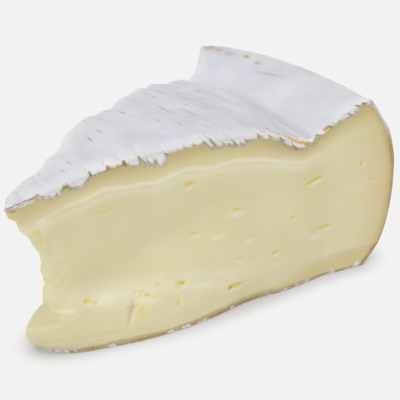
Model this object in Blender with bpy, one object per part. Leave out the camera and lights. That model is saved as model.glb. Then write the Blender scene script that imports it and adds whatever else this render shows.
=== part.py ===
"""Brie wedge: one solid, cut from a soft-ripened wheel of cheese.

The wedge is a box with its six sides cut into rows, and place() carries each corner of those rows
to its place on the cheese. Along the box runs the distance from the point where the two cuts meet,
across it the angle between them, and up it the height. Eyes are then cut out of the front cut.
Metres, +Z up. The wedge stands on z = 0 with its middle over the origin, its tip towards -X, its
rounded heel towards +X and its front cut towards -Y.
"""

import math

import bmesh
import bpy
import numpy as np
from mathutils import Matrix, Vector

MM = 0.001

# The wheel, and the two cuts, which meet a little beyond its centre.
WHEEL_RADIUS = 100 * MM
WEDGE_ANGLE = math.radians(36.5)
BEYOND_CENTRE = 2.4 * MM
CUTS_MEET_X = -51.1 * MM
CUTS_MEET_Y = 0.0 * MM

# The top, from the tip to the crest of the rim: each station's distance and height along the front
# cut, and then along the back cut, in millimetres. Low ridges cross it, and its far corner droops.
TOP_STATIONS = (
    ("tip", 0, 38.6, 0, 38.6),
    ("brow", 20, 43.2, 16, 43.2),
    ("hump", 44, 45.6, 32, 47.0),
    ("shelf", 62, 44.4, 54, 46.8),
    ("lee", 68.5, 42.2, 72, 43.8),
    ("valley", 74.8, 39.6, 85.8, 40.4),
    ("bank", 82, 43.0, 89.2, 43.8),
    ("rim", 88, 46.5, 91, 46.8),
    ("crest", 92.5, 47.4, 92.5, 49.2),
)
CORNER_DROOP = 1.7 * MM
CORNER_BEGINS = 0.86
RIDGE_PITCH = 13 * MM
RIDGE_BEGINS = 3 * MM
RIDGE_HEIGHT = 0.5 * MM

# The heel: a barrel whose widest point lies at BULGE_HEIGHT, its shoulder and its sole rounded.
BULGE_HEIGHT = 24 * MM
HEEL_UPPER_INSET = 8.2 * MM
HEEL_LOWER_INSET = 5.6 * MM
HEEL_POWER = 2.2
SHOULDER_INSET = 1.8 * MM
SHOULDER_HEIGHT = 4 * MM
SOLE_INSET = 1.0 * MM
SOLE_HEIGHT = 1.5 * MM

# The tip: a round nose, hollowed between its rind above and its foot below.
HOLLOW_DEPTH = 10.4 * MM
HOLLOW_ROOF = (15 * MM, 38 * MM)
FOOT_REACH = 6.2 * MM
FOOT_TOP = (5.4 * MM, 8.4 * MM)
FOOT_TUCK = 1.4 * MM
FOOT_TUCK_HEIGHT = 4 * MM
NOSE_AT_TOP = 3.5 * MM
NOSE_BELOW = 7.5 * MM
BLUNT = 0.2 * MM
BLUNT_ENDS = 20 * MM

# The cut faces: the paste slumps outward below, and is hollowed under its top rind and over its
# bottom rind.
FRONT_SLUMP = 7.0 * MM
BACK_SLUMP = 4.5 * MM
SLUMP_BEGINS = -16 * MM
SLUMP_ENDS = 82 * MM
LEDGE_BOTTOM = 4 * MM
LEDGE_TOP_NEAR_TIP = 16 * MM
LEDGE_TOP = 31 * MM
LEDGE_SPREADS = (15 * MM, 60 * MM)
BASE_TUCK = 0.4 * MM
BASE_TUCK_HEIGHT = 3 * MM
BASE_COVE = 0.8 * MM
BASE_COVE_HEIGHTS = (0.8 * MM, 6 * MM)
BASE_COVE_BEGINS = (50 * MM, 92 * MM)
COVE_HEIGHT = 6.8 * MM
COVE_DEPTH = 1.3 * MM
COVE_BEGINS = (2 * MM, 16 * MM)
LIP_HEIGHT = 1.8 * MM
FRONT_LIP_OVERHANG = 0.5 * MM
BACK_LIP_OVERHANG = 0.1 * MM
SCALLOP_PITCH = 8.4 * MM
SCALLOP = 0.35 * MM

# Eyes in the front cut, in millimetres: distance from the tip, height, width, tallness, depth, and
# tilt in degrees.
EYES = (
    (17.0, 10.9, 4.2, 2.0, 1.3, 5),
    (22.8, 31.8, 3.4, 1.7, 1.2, 20),
    (30.5, 11.3, 3.4, 1.8, 1.2, 0),
    (39.1, 11.0, 3.2, 1.8, 1.2, -10),
    (44.2, 34.4, 4.0, 2.8, 1.7, 25),
    (45.5, 21.3, 2.6, 1.6, 1.1, 0),
    (50.6, 20.7, 4.4, 1.8, 1.3, 8),
    (53.8, 6.8, 4.4, 2.6, 1.6, 12),
    (56.5, 25.1, 3.2, 2.4, 1.5, -15),
    (56.7, 12.9, 3.0, 1.7, 1.2, 0),
    (67.9, 11.7, 3.4, 2.0, 1.3, 10),
    (78.9, 28.3, 6.2, 1.8, 1.7, 32),
    (82.4, 14.3, 5.6, 1.9, 1.5, 6),
    (92.4, 30.2, 3.0, 2.4, 1.5, 40),
)
EYE_SIDES, EYE_RINGS = 9, 5

# The torn notch at the foot of the front cut.
NOTCH_DISTANCE = 27 * MM
NOTCH_HEIGHT = 6 * MM
NOTCH_SIZE = (1.6 * MM, 2.6 * MM, 8 * MM)
NOTCH_TILT = math.radians(-12)

ROWS_ALONG, ROWS_ACROSS, ROWS_UP = 70, 16, 20
CROWDING_ALONG, CROWDING_ACROSS, CROWDING_UP = 0.3, 0.35, 0.6

PASTE_COLOUR = (0.638, 0.578, 0.342, 1.0)
RIND_COLOUR = (0.658, 0.645, 0.680, 1.0)


def smoothstep(low, high, x):
    t = np.clip((x - low) / (high - low), 0, 1)
    return t * t * (3 - 2 * t)


def through_points(x, xs, ys):
    """A smooth curve through the points (xs, ys), read at x. Row k of xs and ys belongs to x[k]."""
    steps = np.diff(xs)
    slopes = np.diff(ys) / steps
    before, after = steps[:, :-1], steps[:, 1:]
    inner = (slopes[:, :-1] * after + slopes[:, 1:] * before) / (before + after)
    tangents = np.concatenate([slopes[:, :1], inner, slopes[:, -1:]], axis=1)
    span = (x[:, None] >= xs[:, 1:-1]).sum(1)
    k = np.arange(len(x))
    step = steps[k, span]
    t = np.clip((x - xs[k, span]) / step, 0, 1)
    start, rise = ys[k, span], ys[k, span + 1] - ys[k, span]
    leave, arrive = tangents[k, span] * step, tangents[k, span + 1] * step
    squared = 3 * rise - 2 * leave - arrive
    cubed = leave + arrive - 2 * rise
    return start + leave * t + squared * t ** 2 + cubed * t ** 3


def top_height(distance, across):
    """The height of the top; across is 0 on the front cut and 1 on the back cut."""
    front_at, front_height, back_at, back_height = np.array([row[1:] for row in TOP_STATIONS]).T * MM
    share = across[:, None]
    stations = front_at + (back_at - front_at) * share
    heights = front_height + (back_height - front_height) * share
    height = through_points(distance, stations, heights)
    near_crest = smoothstep(stations[:, -4], stations[:, -2], distance)
    height = height - CORNER_DROOP * near_crest * smoothstep(CORNER_BEGINS, 1, across)
    along = distance * np.cos((across - 0.5) * WEDGE_ANGLE)
    ridged = smoothstep(stations[:, 0], stations[:, 1], distance) * (1 - near_crest)
    wave = np.sin(2 * math.pi * (along - RIDGE_BEGINS) / RIDGE_PITCH)
    return height + RIDGE_HEIGHT * ridged * wave * (0.25 + 0.75 * across)


def heel_radius(height):
    """The outer radius of the wheel at this height."""
    crest = TOP_STATIONS[-1][2] * MM
    above = np.clip((height - BULGE_HEIGHT) / (crest - BULGE_HEIGHT), 0, None)
    below = np.clip((BULGE_HEIGHT - height) / BULGE_HEIGHT, 0, None)
    barrel = HEEL_UPPER_INSET * above ** HEEL_POWER + HEEL_LOWER_INSET * below ** HEEL_POWER
    shoulder = SHOULDER_INSET * np.clip(1 - (crest - height) / SHOULDER_HEIGHT, 0, 1) ** 2
    sole = SOLE_INSET * np.clip(1 - height / SOLE_HEIGHT, 0, 1) ** 2
    return WHEEL_RADIUS - barrel - shoulder - sole


def tip_setback(height):
    """How far the nose stands back at this height from the point where the cuts meet."""
    hollow = HOLLOW_DEPTH * (1 - smoothstep(*HOLLOW_ROOF, height))
    foot = FOOT_REACH * (1 - smoothstep(*FOOT_TOP, height))
    tuck = FOOT_TUCK * np.clip(1 - height / FOOT_TUCK_HEIGHT, 0, 1) ** 2
    return hollow - foot + tuck


def round_nose(along, across, height):
    """Turns the square end of the rows into a half ellipse; along is measured from the nose."""
    length = NOSE_AT_TOP + (NOSE_BELOW - NOSE_AT_TOP) * (1 - smoothstep(*HOLLOW_ROOF, height))
    left = np.clip(length - along, 0, None)
    side = 2 * across - 1
    along = along + left * (1 - np.sqrt(1 - side ** 2 / 2))
    side = side * np.sqrt(1 - (left / length) ** 2 / 2)
    return along, (side + 1) / 2


def cut_offset(distance, height, top, slump, overhang):
    """How far a cut face stands out from its flat plane."""
    spread = np.sin(math.pi * np.clip((distance - SLUMP_BEGINS) / (SLUMP_ENDS - SLUMP_BEGINS), 0, 1))
    ledge_top = LEDGE_TOP_NEAR_TIP + (LEDGE_TOP - LEDGE_TOP_NEAR_TIP) * smoothstep(*LEDGE_SPREADS, distance)
    out = slump * spread * (1 - smoothstep(LEDGE_BOTTOM, ledge_top, height))
    out = out + BLUNT * (1 - smoothstep(0, BLUNT_ENDS, distance))
    out = out - BASE_TUCK * np.clip(1 - height / BASE_TUCK_HEIGHT, 0, 1) ** 2
    low, high = BASE_COVE_HEIGHTS
    base_cove = np.sin(math.pi * np.clip((height - low) / (high - low), 0, 1))
    out = out - BASE_COVE * base_cove * smoothstep(*BASE_COVE_BEGINS, distance)
    depth = top - height
    under_lip = np.clip((depth - 0.5 * LIP_HEIGHT) / (COVE_HEIGHT - 0.5 * LIP_HEIGHT), 0, 1)
    out = out - COVE_DEPTH * np.sin(math.pi * under_lip ** 0.6) * smoothstep(*COVE_BEGINS, distance)
    scallop = SCALLOP * np.sin(2 * math.pi * distance / SCALLOP_PITCH)
    return out + (overhang + scallop) * (1 - smoothstep(0.4 * LIP_HEIGHT, LIP_HEIGHT, depth))


def place(box):
    """Carries points of the unit box to their places on the wedge."""
    u, v, w = box.T
    tip_level = w * TOP_STATIONS[0][2] * MM
    start = tip_setback(tip_level)
    end = heel_radius(w * TOP_STATIONS[-1][2] * MM) + BEYOND_CENTRE * np.cos((v - 0.5) * WEDGE_ANGLE)
    along, across = round_nose((end - start) * u, v, tip_level)
    distance = start + along
    top = top_height(distance, across)
    height = w * top
    front = (1 - across) * cut_offset(distance, height, top, FRONT_SLUMP, FRONT_LIP_OVERHANG)
    back = across * cut_offset(distance, height, top, BACK_SLUMP, BACK_LIP_OVERHANG)
    angle = (across - 0.5) * WEDGE_ANGLE
    half = WEDGE_ANGLE / 2
    x = CUTS_MEET_X + distance * np.cos(angle) - math.sin(half) * (front + back)
    y = CUTS_MEET_Y + distance * np.sin(angle) - math.cos(half) * (front - back)
    return np.stack([x, y, height], axis=1)


def rows(count, crowding):
    """Places of the rows from 0 to 1, crowded towards both ends."""
    t = np.linspace(0, 1, count + 1)
    return t - crowding * np.sin(2 * math.pi * t) / (2 * math.pi)


def rowed_box():
    """A unit box whose sides are cut into even rows."""
    bm = bmesh.new()
    bmesh.ops.create_cube(bm, size=1, matrix=Matrix.Translation((0.5, 0.5, 0.5)))
    for axis, count in enumerate((ROWS_ALONG, ROWS_ACROSS, ROWS_UP)):
        edges = [e for e in bm.edges if abs((e.verts[1].co - e.verts[0].co)[axis]) > 0.5]
        bmesh.ops.subdivide_edges(bm, edges=edges, cuts=count - 1, use_grid_fill=True)
    return bm


def make_material(name, colour, roughness):
    material = bpy.data.materials.new(name)
    material.use_nodes = True
    shader = material.node_tree.nodes["Principled BSDF"]
    shader.inputs["Base Color"].default_value = colour
    shader.inputs["Roughness"].default_value = roughness
    shader.inputs["Metallic"].default_value = 0.0
    return material


def make_wedge():
    """The wedge without its eyes; its cut faces are paste, and the rest is rind."""
    bm = rowed_box()
    counts = (ROWS_ALONG, ROWS_ACROSS, ROWS_UP)
    crowding = (CROWDING_ALONG, CROWDING_ACROSS, CROWDING_UP)
    even = np.array([vert.co for vert in bm.verts])
    box = np.empty_like(even)
    for axis, count in enumerate(counts):
        row = np.round(even[:, axis] * count).astype(int)
        box[:, axis] = rows(count, crowding[axis])[row]
    for face in bm.faces:
        middle = face.calc_center_median()
        cut = middle.x < 0.001 or middle.y < 0.001 or middle.y > 0.999
        face.material_index = 0 if cut else 1
    bottom = [face for face in bm.faces if face.calc_center_median().z < 0.001]
    for vert, point in zip(bm.verts, place(box)):
        vert.co = point
    bmesh.ops.dissolve_faces(bm, faces=bottom)
    bmesh.ops.recalc_face_normals(bm, faces=bm.faces)
    mesh = bpy.data.meshes.new("brie_wedge")
    bm.to_mesh(mesh)
    bm.free()
    mesh.shade_smooth()
    mesh.set_sharp_from_angle(angle=math.radians(40))
    mesh.materials.append(make_material("paste", PASTE_COLOUR, 0.45))
    mesh.materials.append(make_material("rind", RIND_COLOUR, 0.85))
    wedge = bpy.data.objects.new("brie_wedge", mesh)
    bpy.context.scene.collection.objects.link(wedge)
    return wedge


def front_face_point(distance, height):
    """The point of the front cut at this distance and height."""
    at = np.array([distance])
    top = top_height(at, np.zeros(1))
    w = float(height / top[0])
    start = tip_setback(np.array([w * TOP_STATIONS[0][2] * MM]))
    end = heel_radius(w * TOP_STATIONS[-1][2] * MM) + BEYOND_CENTRE * math.cos(WEDGE_ANGLE / 2)
    u = float(((at - start) / (end - start))[0])
    return Vector(place(np.array([[u, 0, w]]))[0])


def make_cutter(name, distance, height, size, tilt, cutters):
    """An ellipsoid of this size, half sunk in the front cut: width, thickness, tallness."""
    bm = bmesh.new()
    bmesh.ops.create_uvsphere(bm, u_segments=EYE_SIDES, v_segments=EYE_RINGS, radius=0.5)
    mesh = bpy.data.meshes.new(name)
    bm.to_mesh(mesh)
    bm.free()
    turn = Matrix.Rotation(-WEDGE_ANGLE / 2, 4, "Z") @ Matrix.Rotation(-tilt, 4, "Y")
    place_it = Matrix.Translation(front_face_point(distance, height)) @ turn
    mesh.transform(place_it @ Matrix.Diagonal((*size, 1)))
    cutter = bpy.data.objects.new(name, mesh)
    cutter.hide_render = True
    cutter.display_type = "WIRE"
    cutters.objects.link(cutter)


def cut_eyes(wedge):
    cutters = bpy.data.collections.new("eye_cutters")
    bpy.context.scene.collection.children.link(cutters)
    for number, (distance, height, width, tallness, depth, tilt) in enumerate(EYES):
        size = (width * MM, 2 * depth * MM, tallness * MM)
        make_cutter(f"eye_{number}", distance * MM, height * MM, size, math.radians(tilt), cutters)
    make_cutter("notch", NOTCH_DISTANCE, NOTCH_HEIGHT, NOTCH_SIZE, NOTCH_TILT, cutters)
    cut = wedge.modifiers.new("eyes", "BOOLEAN")
    cut.operation = "DIFFERENCE"
    cut.operand_type = "COLLECTION"
    cut.collection = cutters
    cut.solver = "EXACT"


def main():
    for old in list(bpy.data.objects):
        bpy.data.objects.remove(old)
    cut_eyes(make_wedge())


main()
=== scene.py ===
"""The looks of a brie wedge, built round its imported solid.

Two closed pieces stand for the solid. The paste is the cheese between the rinds, with its eyes,
drags and torn nose. The rind is the felt over the top, the heel and the bottom, whose ragged lip
hangs over the cuts. Each is a box whose rows Sheet carries to the wedge, as in the solid, and
whose points are then pushed in or out along their normals. Two more pieces are scattered on them:
white fluff and brown crumbs, along the edges of the rind.
Sizes are in mm, which make_piece turns into metres. +Z is up, the tip points to -X, and the front
cut faces -Y. A place on the wedge is given by its distance from the line where the cuts meet, its
share of the way across, and its height.
"""

import itertools
import math

import bmesh
import bpy
import numpy as np
from mathutils import Euler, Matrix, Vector


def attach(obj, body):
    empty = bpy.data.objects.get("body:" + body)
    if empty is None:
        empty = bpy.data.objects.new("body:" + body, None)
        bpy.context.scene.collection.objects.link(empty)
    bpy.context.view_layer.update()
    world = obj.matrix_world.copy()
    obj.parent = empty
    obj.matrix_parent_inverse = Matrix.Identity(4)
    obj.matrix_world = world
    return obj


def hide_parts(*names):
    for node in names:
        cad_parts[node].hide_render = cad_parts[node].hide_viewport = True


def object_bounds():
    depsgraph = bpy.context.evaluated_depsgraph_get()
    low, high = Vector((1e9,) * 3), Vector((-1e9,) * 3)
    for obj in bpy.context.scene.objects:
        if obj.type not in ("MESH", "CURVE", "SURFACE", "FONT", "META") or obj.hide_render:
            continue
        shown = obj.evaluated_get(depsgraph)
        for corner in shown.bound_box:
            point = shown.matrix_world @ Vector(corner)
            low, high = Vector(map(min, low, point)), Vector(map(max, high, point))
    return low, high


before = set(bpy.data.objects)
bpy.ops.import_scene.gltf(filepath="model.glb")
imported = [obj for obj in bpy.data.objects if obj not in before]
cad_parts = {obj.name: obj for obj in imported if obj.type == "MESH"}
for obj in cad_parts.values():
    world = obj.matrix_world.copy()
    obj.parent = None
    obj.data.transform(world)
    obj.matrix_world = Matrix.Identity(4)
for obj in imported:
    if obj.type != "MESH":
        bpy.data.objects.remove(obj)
cad_low, cad_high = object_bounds()

MM = 0.001
FLAT = (1, 1, 0)

# ---- The wedge's form

WHEEL_RADIUS = 100
WEDGE_ANGLE = math.radians(36.5)
BEYOND_CENTRE = 2.4
CUTS_MEET_X = -51.1

# The top's stations: distance and height along the front cut, then along the back cut.
TOP_STATIONS = (
    ("tip", 0, 38.6, 0, 38.6),
    ("brow", 20, 43.2, 16, 43.2),
    ("hump", 44, 45.6, 32, 47),
    ("shelf", 62, 44.4, 54, 46.8),
    ("lee", 68.5, 42.2, 72, 43.8),
    ("valley", 74.8, 39.6, 85.8, 40.4),
    ("bank", 82, 43, 89.2, 43.8),
    ("rim", 88, 46.5, 91, 46.8),
    ("crest", 92.5, 47.4, 92.5, 49.2),
)
CREST_FALL = 0.4
CREST_FALLS = (0.72, 0.9)
CORNER_DROOP = 1.4
CORNER_BEGINS = 0.85
RIDGE_PITCH = 13
RIDGE_BEGINS = 3
RIDGE_HEIGHT = 0.5
RIDGE_AT_FRONT = 0.25

BULGE_HEIGHT = 24
HEEL_UPPER_INSET = 8.2
HEEL_LOWER_INSET = 5.6
HEEL_POWER = 2.2
SHOULDER_INSET = 1.8
SHOULDER_HEIGHT = 4
SOLE_INSET = 1
SOLE_HEIGHT = 1.5
BASE_CORNER = 1.7
BASE_CORNER_HEIGHT = 3.8
BASE_CORNER_REACH = 0.15

# The nose's outline: height, and how far it stands back from where the cuts meet.
NOSE_OUTLINE = (
    (0, 6.4), (0.8, 5.6), (1.6, 4.7), (2.6, 3.7), (4, 2.5), (5.2, 2.2), (6.2, 2.1), (7, 3.5),
    (7.8, 7.6), (8.6, 8.2), (9.6, 8.1), (10.8, 8.3), (12.2, 8.9), (14, 9), (15.6, 8.8), (17, 8.1),
    (18, 8.3), (19, 8.8), (21, 7.9), (22.6, 7.4), (24.2, 6.3), (26, 5.5), (28, 4.2), (29.6, 3.4),
    (31.2, 2.5), (32.8, 2), (34.2, 0.9), (35.4, 0.35), (36.6, 0.2), (38.6, 0.15),
)
NOSE_WIDENS = (15, 38)
NOSE_AT_TOP = 3.5
NOSE_BELOW = 7.5
BLUNT = 0.2
BLUNT_ENDS = 20
TIP_FULLNESS = 0.9
TIP_FULL_ABOVE = (33, 37)
TIP_FULL_ENDS = 6

# How much the top's back edge rises or sinks at each distance.
BACK_EDGE = (
    (0, 0.5), (4, 1.2), (8, 0.4), (12, -0.2), (16, 0), (20, -1.1), (24, 1), (28, 1), (32, 0),
    (36, -1), (40, -0.6), (44, -1.6), (48, -1.1), (52, -0.3), (56, 0.5), (60, -1), (64, -0.2),
    (68, -0.2), (72, -1.1), (76, -0.3), (80, 1.7), (84, 0.8), (88, -1.3), (92.5, -0.2), (96, -0.2),
)
# How much the front cut's foot stands out or in at each distance.
FRONT_FOOT = (
    (0, 0), (40, 0), (46, -0.4), (52, -1), (57, -1.5), (62, -1.4), (67, -0.5), (72, 0), (94, 0),
)
FOOT_HEIGHT = 10
BACK_EDGE_REACH = 0.55
BACK_EDGE_WIDENS = (6, 26)

FRONT_SLUMP = 7
BACK_SLUMP = 4.5
FRONT_SLUMP_BEGINS = -16
BACK_SLUMP_BEGINS = 1
SLUMP_ENDS = 82
LEDGE_BOTTOM = 4
LEDGE_TOP_NEAR_TIP = (16, 7)
LEDGE_TOP = 31
LEDGE_SPREADS = (15, 60)
FLARE = 0.6
FLARE_HEIGHT = 2.6
FLARE_SPAN = (6, 58)
BASE_COVE = 0.8
BASE_COVE_HEIGHTS = (0.8, 6)
BASE_COVE_BEGINS = (50, 92)
COVE_DEPTH = 1.3
COVE_BEGINS = (2, 16)
COVE_STARTS = 0.9
COVE_POWER = 0.6
SHALLOWEST_COVE = 3
BACK_COVE_HEIGHT = 6.8

# The shoulder under the cove of the front cut: distance and height.
SHOULDER_LINE = (
    (0, 29.6), (4.3, 32.2), (9.1, 33.6), (17.2, 35.6), (24.7, 37.4), (30, 37), (34.7, 36.5),
    (40.7, 37.8), (43.6, 38.1), (49.9, 37.8), (54.8, 37.8), (59.4, 37.4), (64.1, 36.8),
    (70.7, 35.1), (75.7, 34), (80.3, 35.3), (85.9, 36.9), (92, 38.6),
)
SHOULDER_RIDGE = 0.3
SHOULDER_WIDTH = 1.1
SHOULDER_STARTS = (2, 26)
SHOULDER_FADES = (68, 82)

# ---- The rind's form

# How far the lip hangs down over the front cut at each distance.
FRONT_LIP = (
    (0, 1.2), (4, 1.3), (7, 1.5), (9, 2.4), (10.9, 3.7), (12.5, 2.9), (14, 3.3), (15.6, 4.1),
    (18.1, 3.5), (19.1, 2.2), (20.8, 2.2), (23, 2), (26.6, 1.8), (28, 2.5), (29.2, 3.8),
    (31.4, 4.4), (33.1, 4.7), (35.8, 4.9), (37, 3.6), (39.4, 2.3), (41.8, 1.8), (43.1, 2),
    (45.5, 2.1), (47.2, 2.7), (48, 4), (48.8, 4.7), (50.4, 3.8), (52.2, 3.4), (54.3, 4.6),
    (56, 3.9), (58.1, 2.9), (61, 2), (64.3, 1.4), (67.3, 1.1), (69.1, 2.2), (72.4, 2.8),
    (74.9, 2.7), (77.6, 1), (78.9, 2.3), (80.7, 2.9), (82.9, 2.8), (84.8, 3.7), (86.1, 3.7),
    (87.7, 2.4), (89.5, 1.2), (92, 0.9),
)
# How widely the front edge is rolled over at each distance.
FRONT_ROLL = (
    (0, 1.3), (3, 1.7), (7, 2.4), (12, 3.1), (18, 3.2), (21, 2.4), (26.5, 2.1), (31, 3.1), (37, 3.4),
    (41.7, 2.6), (45.8, 2.1), (50, 2.9), (57, 3.2), (61.5, 2.3), (66, 1.6), (71, 2), (76, 2.3),
    (80, 2), (88, 1.5), (92, 1.2),
)
BACK_ROLL = 0.8
WIDEST_ROLL = 0.45
SOLE_ROLL = (0.3, 0.6)
SOLE_ROLL_FADES = (52, 76)
BACK_LIP_DEPTH = 2.6
BACK_LIP_SWING = 1.3
BACK_LIP_PITCH = 19
BACK_LIP_GROWS = (6, 16)
HEEL_LIP = 0.7
HEEL_LIP_OUT = 0.12
SHORTEST_LIP = 0.3
LIP_THICKNESS = 0.62
LIP_AT_RIM = 0.4
LIP_NAP = 0.06
RIM_REACH = 2.6
RIM_ENDS = (85, 91)
NICK_SINKS = 0.7
HIDDEN_WALL_IN = (0.045, 0.14)
HEEL_SIDES = 0.12
SOLE_LIP = 0.3
SOLE_LIP_THICKNESS = 0.16
SOLE_NOSE = 0.2
SOLE_NOSE_ENDS = (8, 15)
# Where the tip's small lumps end, and where the felt's large ones grow calm.
TIP_LUMPS_END = (6, 20)
CREST_CALM = (84, 90)
BACK_CALM = (0.8, 1)
HEEL_CALM = (36, 45)
HEEL_SIDE_CALM = 4
# White tufts along the base of the cuts: distance, half the width, and how tall.
TUFTS = (
    (6.5, 1.6, 0.9), (9.6, 1.6, 0.8), (13, 1, 0.3), (20.4, 1.7, 0.7), (24.5, 0.8, 0.2),
    (39.4, 1.5, 0.4), (46, 0.9, 0.2), (53, 1, 0.2), (64, 1, 0.25), (68.5, 1.3, 0.35),
    (73, 1.2, 0.3), (78, 0.8, 0.2), (83.4, 1.8, 0.6), (91, 1.7, 0.5),
)
TUFT_REACH = 1.7
TUFTS_BETWEEN = 0.3

# The tears in the rind over the valley, and the crack in the lip round the tip: distance, depth
# under the top's edge, and half the width.
TEAR = (
    (65.5, -1.6, 0), (66.6, -1.4, 0.12), (68.6, -0.75, 0.2), (70.4, -0.4, 0.3), (72.4, -0.2, 0.42),
    (74.7, 0.15, 0.46), (76.5, 1.1, 0.5), (77.6, 2, 0.42), (78.2, 2.4, 0),
)
SMALL_TEAR = ((80.2, 0.3, 0), (80.7, 0.45, 0.4), (81.3, 0.6, 0.4), (81.8, 0.7, 0))
TIP_CRACK = (
    (0.3, 0.9, 0), (1.2, 0.8, 0.14), (2.6, 0.75, 0.2), (4.6, 0.85, 0.24), (6, 1, 0.26),
    (7.2, 0.8, 0.24), (8.6, 1.5, 0),
)
TEAR_DEPTH = 0.35
CRACK_DEPTH = 0.3
CRACK_JAG = 0.3

# The crease at the foot of the bank: share of the way across, and distance.
CREASE_ACROSS = (0, 0.1, 0.23, 0.335, 0.42, 0.51, 0.59, 0.67, 0.74, 0.85, 1)
CREASE_AT = (76.8, 77.2, 77.8, 78.2, 79, 80, 81, 81.8, 82.3, 83, 84)
CREASE_DEPTH = 0.7
CREASE_WIDTH = 1.7
CREASE_FADES = (0.55, 0.85)

# Nicks torn into the front lip: distance, width, depth as a share of the lip, and how orange.
FRONT_NICKS = (
    (6.9, 1, 0.3, 0.5), (13.5, 1.4, 0.5, 0.3), (19.4, 0.8, 0.7, 1), (23.6, 0.8, 0.65, 0.9),
    (27.5, 0.9, 0.65, 0.8), (31.2, 0.7, 0.75, 0.9), (32.4, 0.4, 0.3, 0.3), (33.9, 0.5, 0.15, 0.2),
    (37.3, 0.5, 0.5, 0.3), (38.3, 0.3, 0.3, 0.2), (39.4, 0.3, 0.35, 0.3), (40.5, 0.3, 0.3, 0.2),
    (42.2, 0.4, 0.3, 0.1), (44.4, 0.4, 0.35, 0.2), (47.1, 0.5, 0.45, 0.3), (49, 0.6, 0.7, 1),
    (51.2, 0.4, 0.25, 0.1), (54, 0.5, 0.5, 0.3), (57, 0.4, 0.2, 0.1), (61.5, 0.7, 0.7, 0.5),
    (64.6, 0.7, 0.7, 0.5), (67.7, 0.7, 0.7, 0.4), (70.7, 0.6, 0.6, 0.2), (74, 0.4, 0.3, 0.1),
    (78.3, 0.6, 0.8, 0.2), (81, 1, 0.8, 1), (82.2, 0.4, 0.6, 0.2), (85, 0.5, 0.4, 0.2),
    (88.8, 0.6, 0.9, 0.5), (90.6, 0.5, 0.6, 0.3),
)
LOBE_ROUNDING = 1.6
NICK_SOFTNESS = 0.12
BACK_NICK_COUNT = 24
BACK_NICKS_SPAN = (3, 83)
FRILL_STEP = (1.3, 3.4)
FRILLS_END = 91
# The limits of the drawn nicks' width, depth and orange.
BACK_NICK_LIMITS = ((0.4, 0.9), (0.3, 0.8), (0, 0.3))
FRILL_LIMITS = ((0.2, 0.5), (0.05, 0.2), (0, 0.25))

# Marks on the felt: distance, share of the way across, length, width, and strength.
MARKS = (
    (41.9, 0.83, 1.6, 0.5, 0.9), (41.1, 0.7, 1.2, 0.4, 0.5), (55, 0.9, 2, 0.35, 0.5),
    (54.2, 0.82, 1.8, 0.35, 0.5), (55.9, 0.56, 1.6, 0.45, 0.8), (43.5, 0.45, 1.3, 0.45, 0.6),
    (29.8, 0.7, 1.8, 0.5, 0.6), (26.5, 0.69, 1.5, 0.45, 0.8), (17.3, 0.46, 1.8, 0.4, 0.7),
    (14.8, 0.37, 1.5, 0.35, 0.7), (11.4, 0.89, 1.2, 0.35, 0.5), (10.4, 0.38, 1, 0.4, 0.4),
    (77.4, 0.59, 1.2, 0.4, 0.7), (60, 0.66, 6, 0.3, 0.35), (64, 0.5, 5, 0.3, 0.3),
    (90.1, 0.675, 1, 0.6, 1), (92, 0.955, 1.8, 0.4, 0.6), (46.5, 0.3, 1.5, 0.4, 0.5),
    (50.5, 0.36, 1.2, 0.35, 0.4),
)
TAN_STREAKS = (
    (92, 0.955, 4.4, 1.1, 1), (91.7, 0.9, 5.5, 1, 0.9), (91.3, 0.85, 5.5, 0.8, 0.7),
    (92.2, 0.99, 1.5, 1, 0.8), (88.2, 0.58, 8, 0.5, 0.6), (88.2, 0.52, 3, 0.5, 0.6),
    (90.2, 0.66, 3, 0.5, 0.4), (91.6, 0.38, 4, 0.9, 0.35), (92.8, 0.75, 10, 0.8, 0.3),
    (58, 0.45, 9, 2.5, 0.15),
)
GREEN_SPOTS = ((91.1, 0.745, 1.5, 0.8, 1), (72.1, 0.5, 1.4, 0.5, 0.4))
MARK_DEPTH = 0.12
# Where the mat's strokes show, how far the painted highlight along the top's rim reaches, how
# short a lip has the widest fringe, whose tan is partly painted shade, and where the tufts and
# the heel's lip are white.
PLATEAU_BEGINS = (20, 40)
PLATEAU_ENDS = (73, 78)
HIGHLIGHT_RIM_REACH = 4.8
SHORT_LIP = (1.3, 2.5)
SOLE_WHITE = (0.08, 0.3)
HEEL_LIP_WHITE = (33, 43)

# ---- The paste's form and colours

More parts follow.
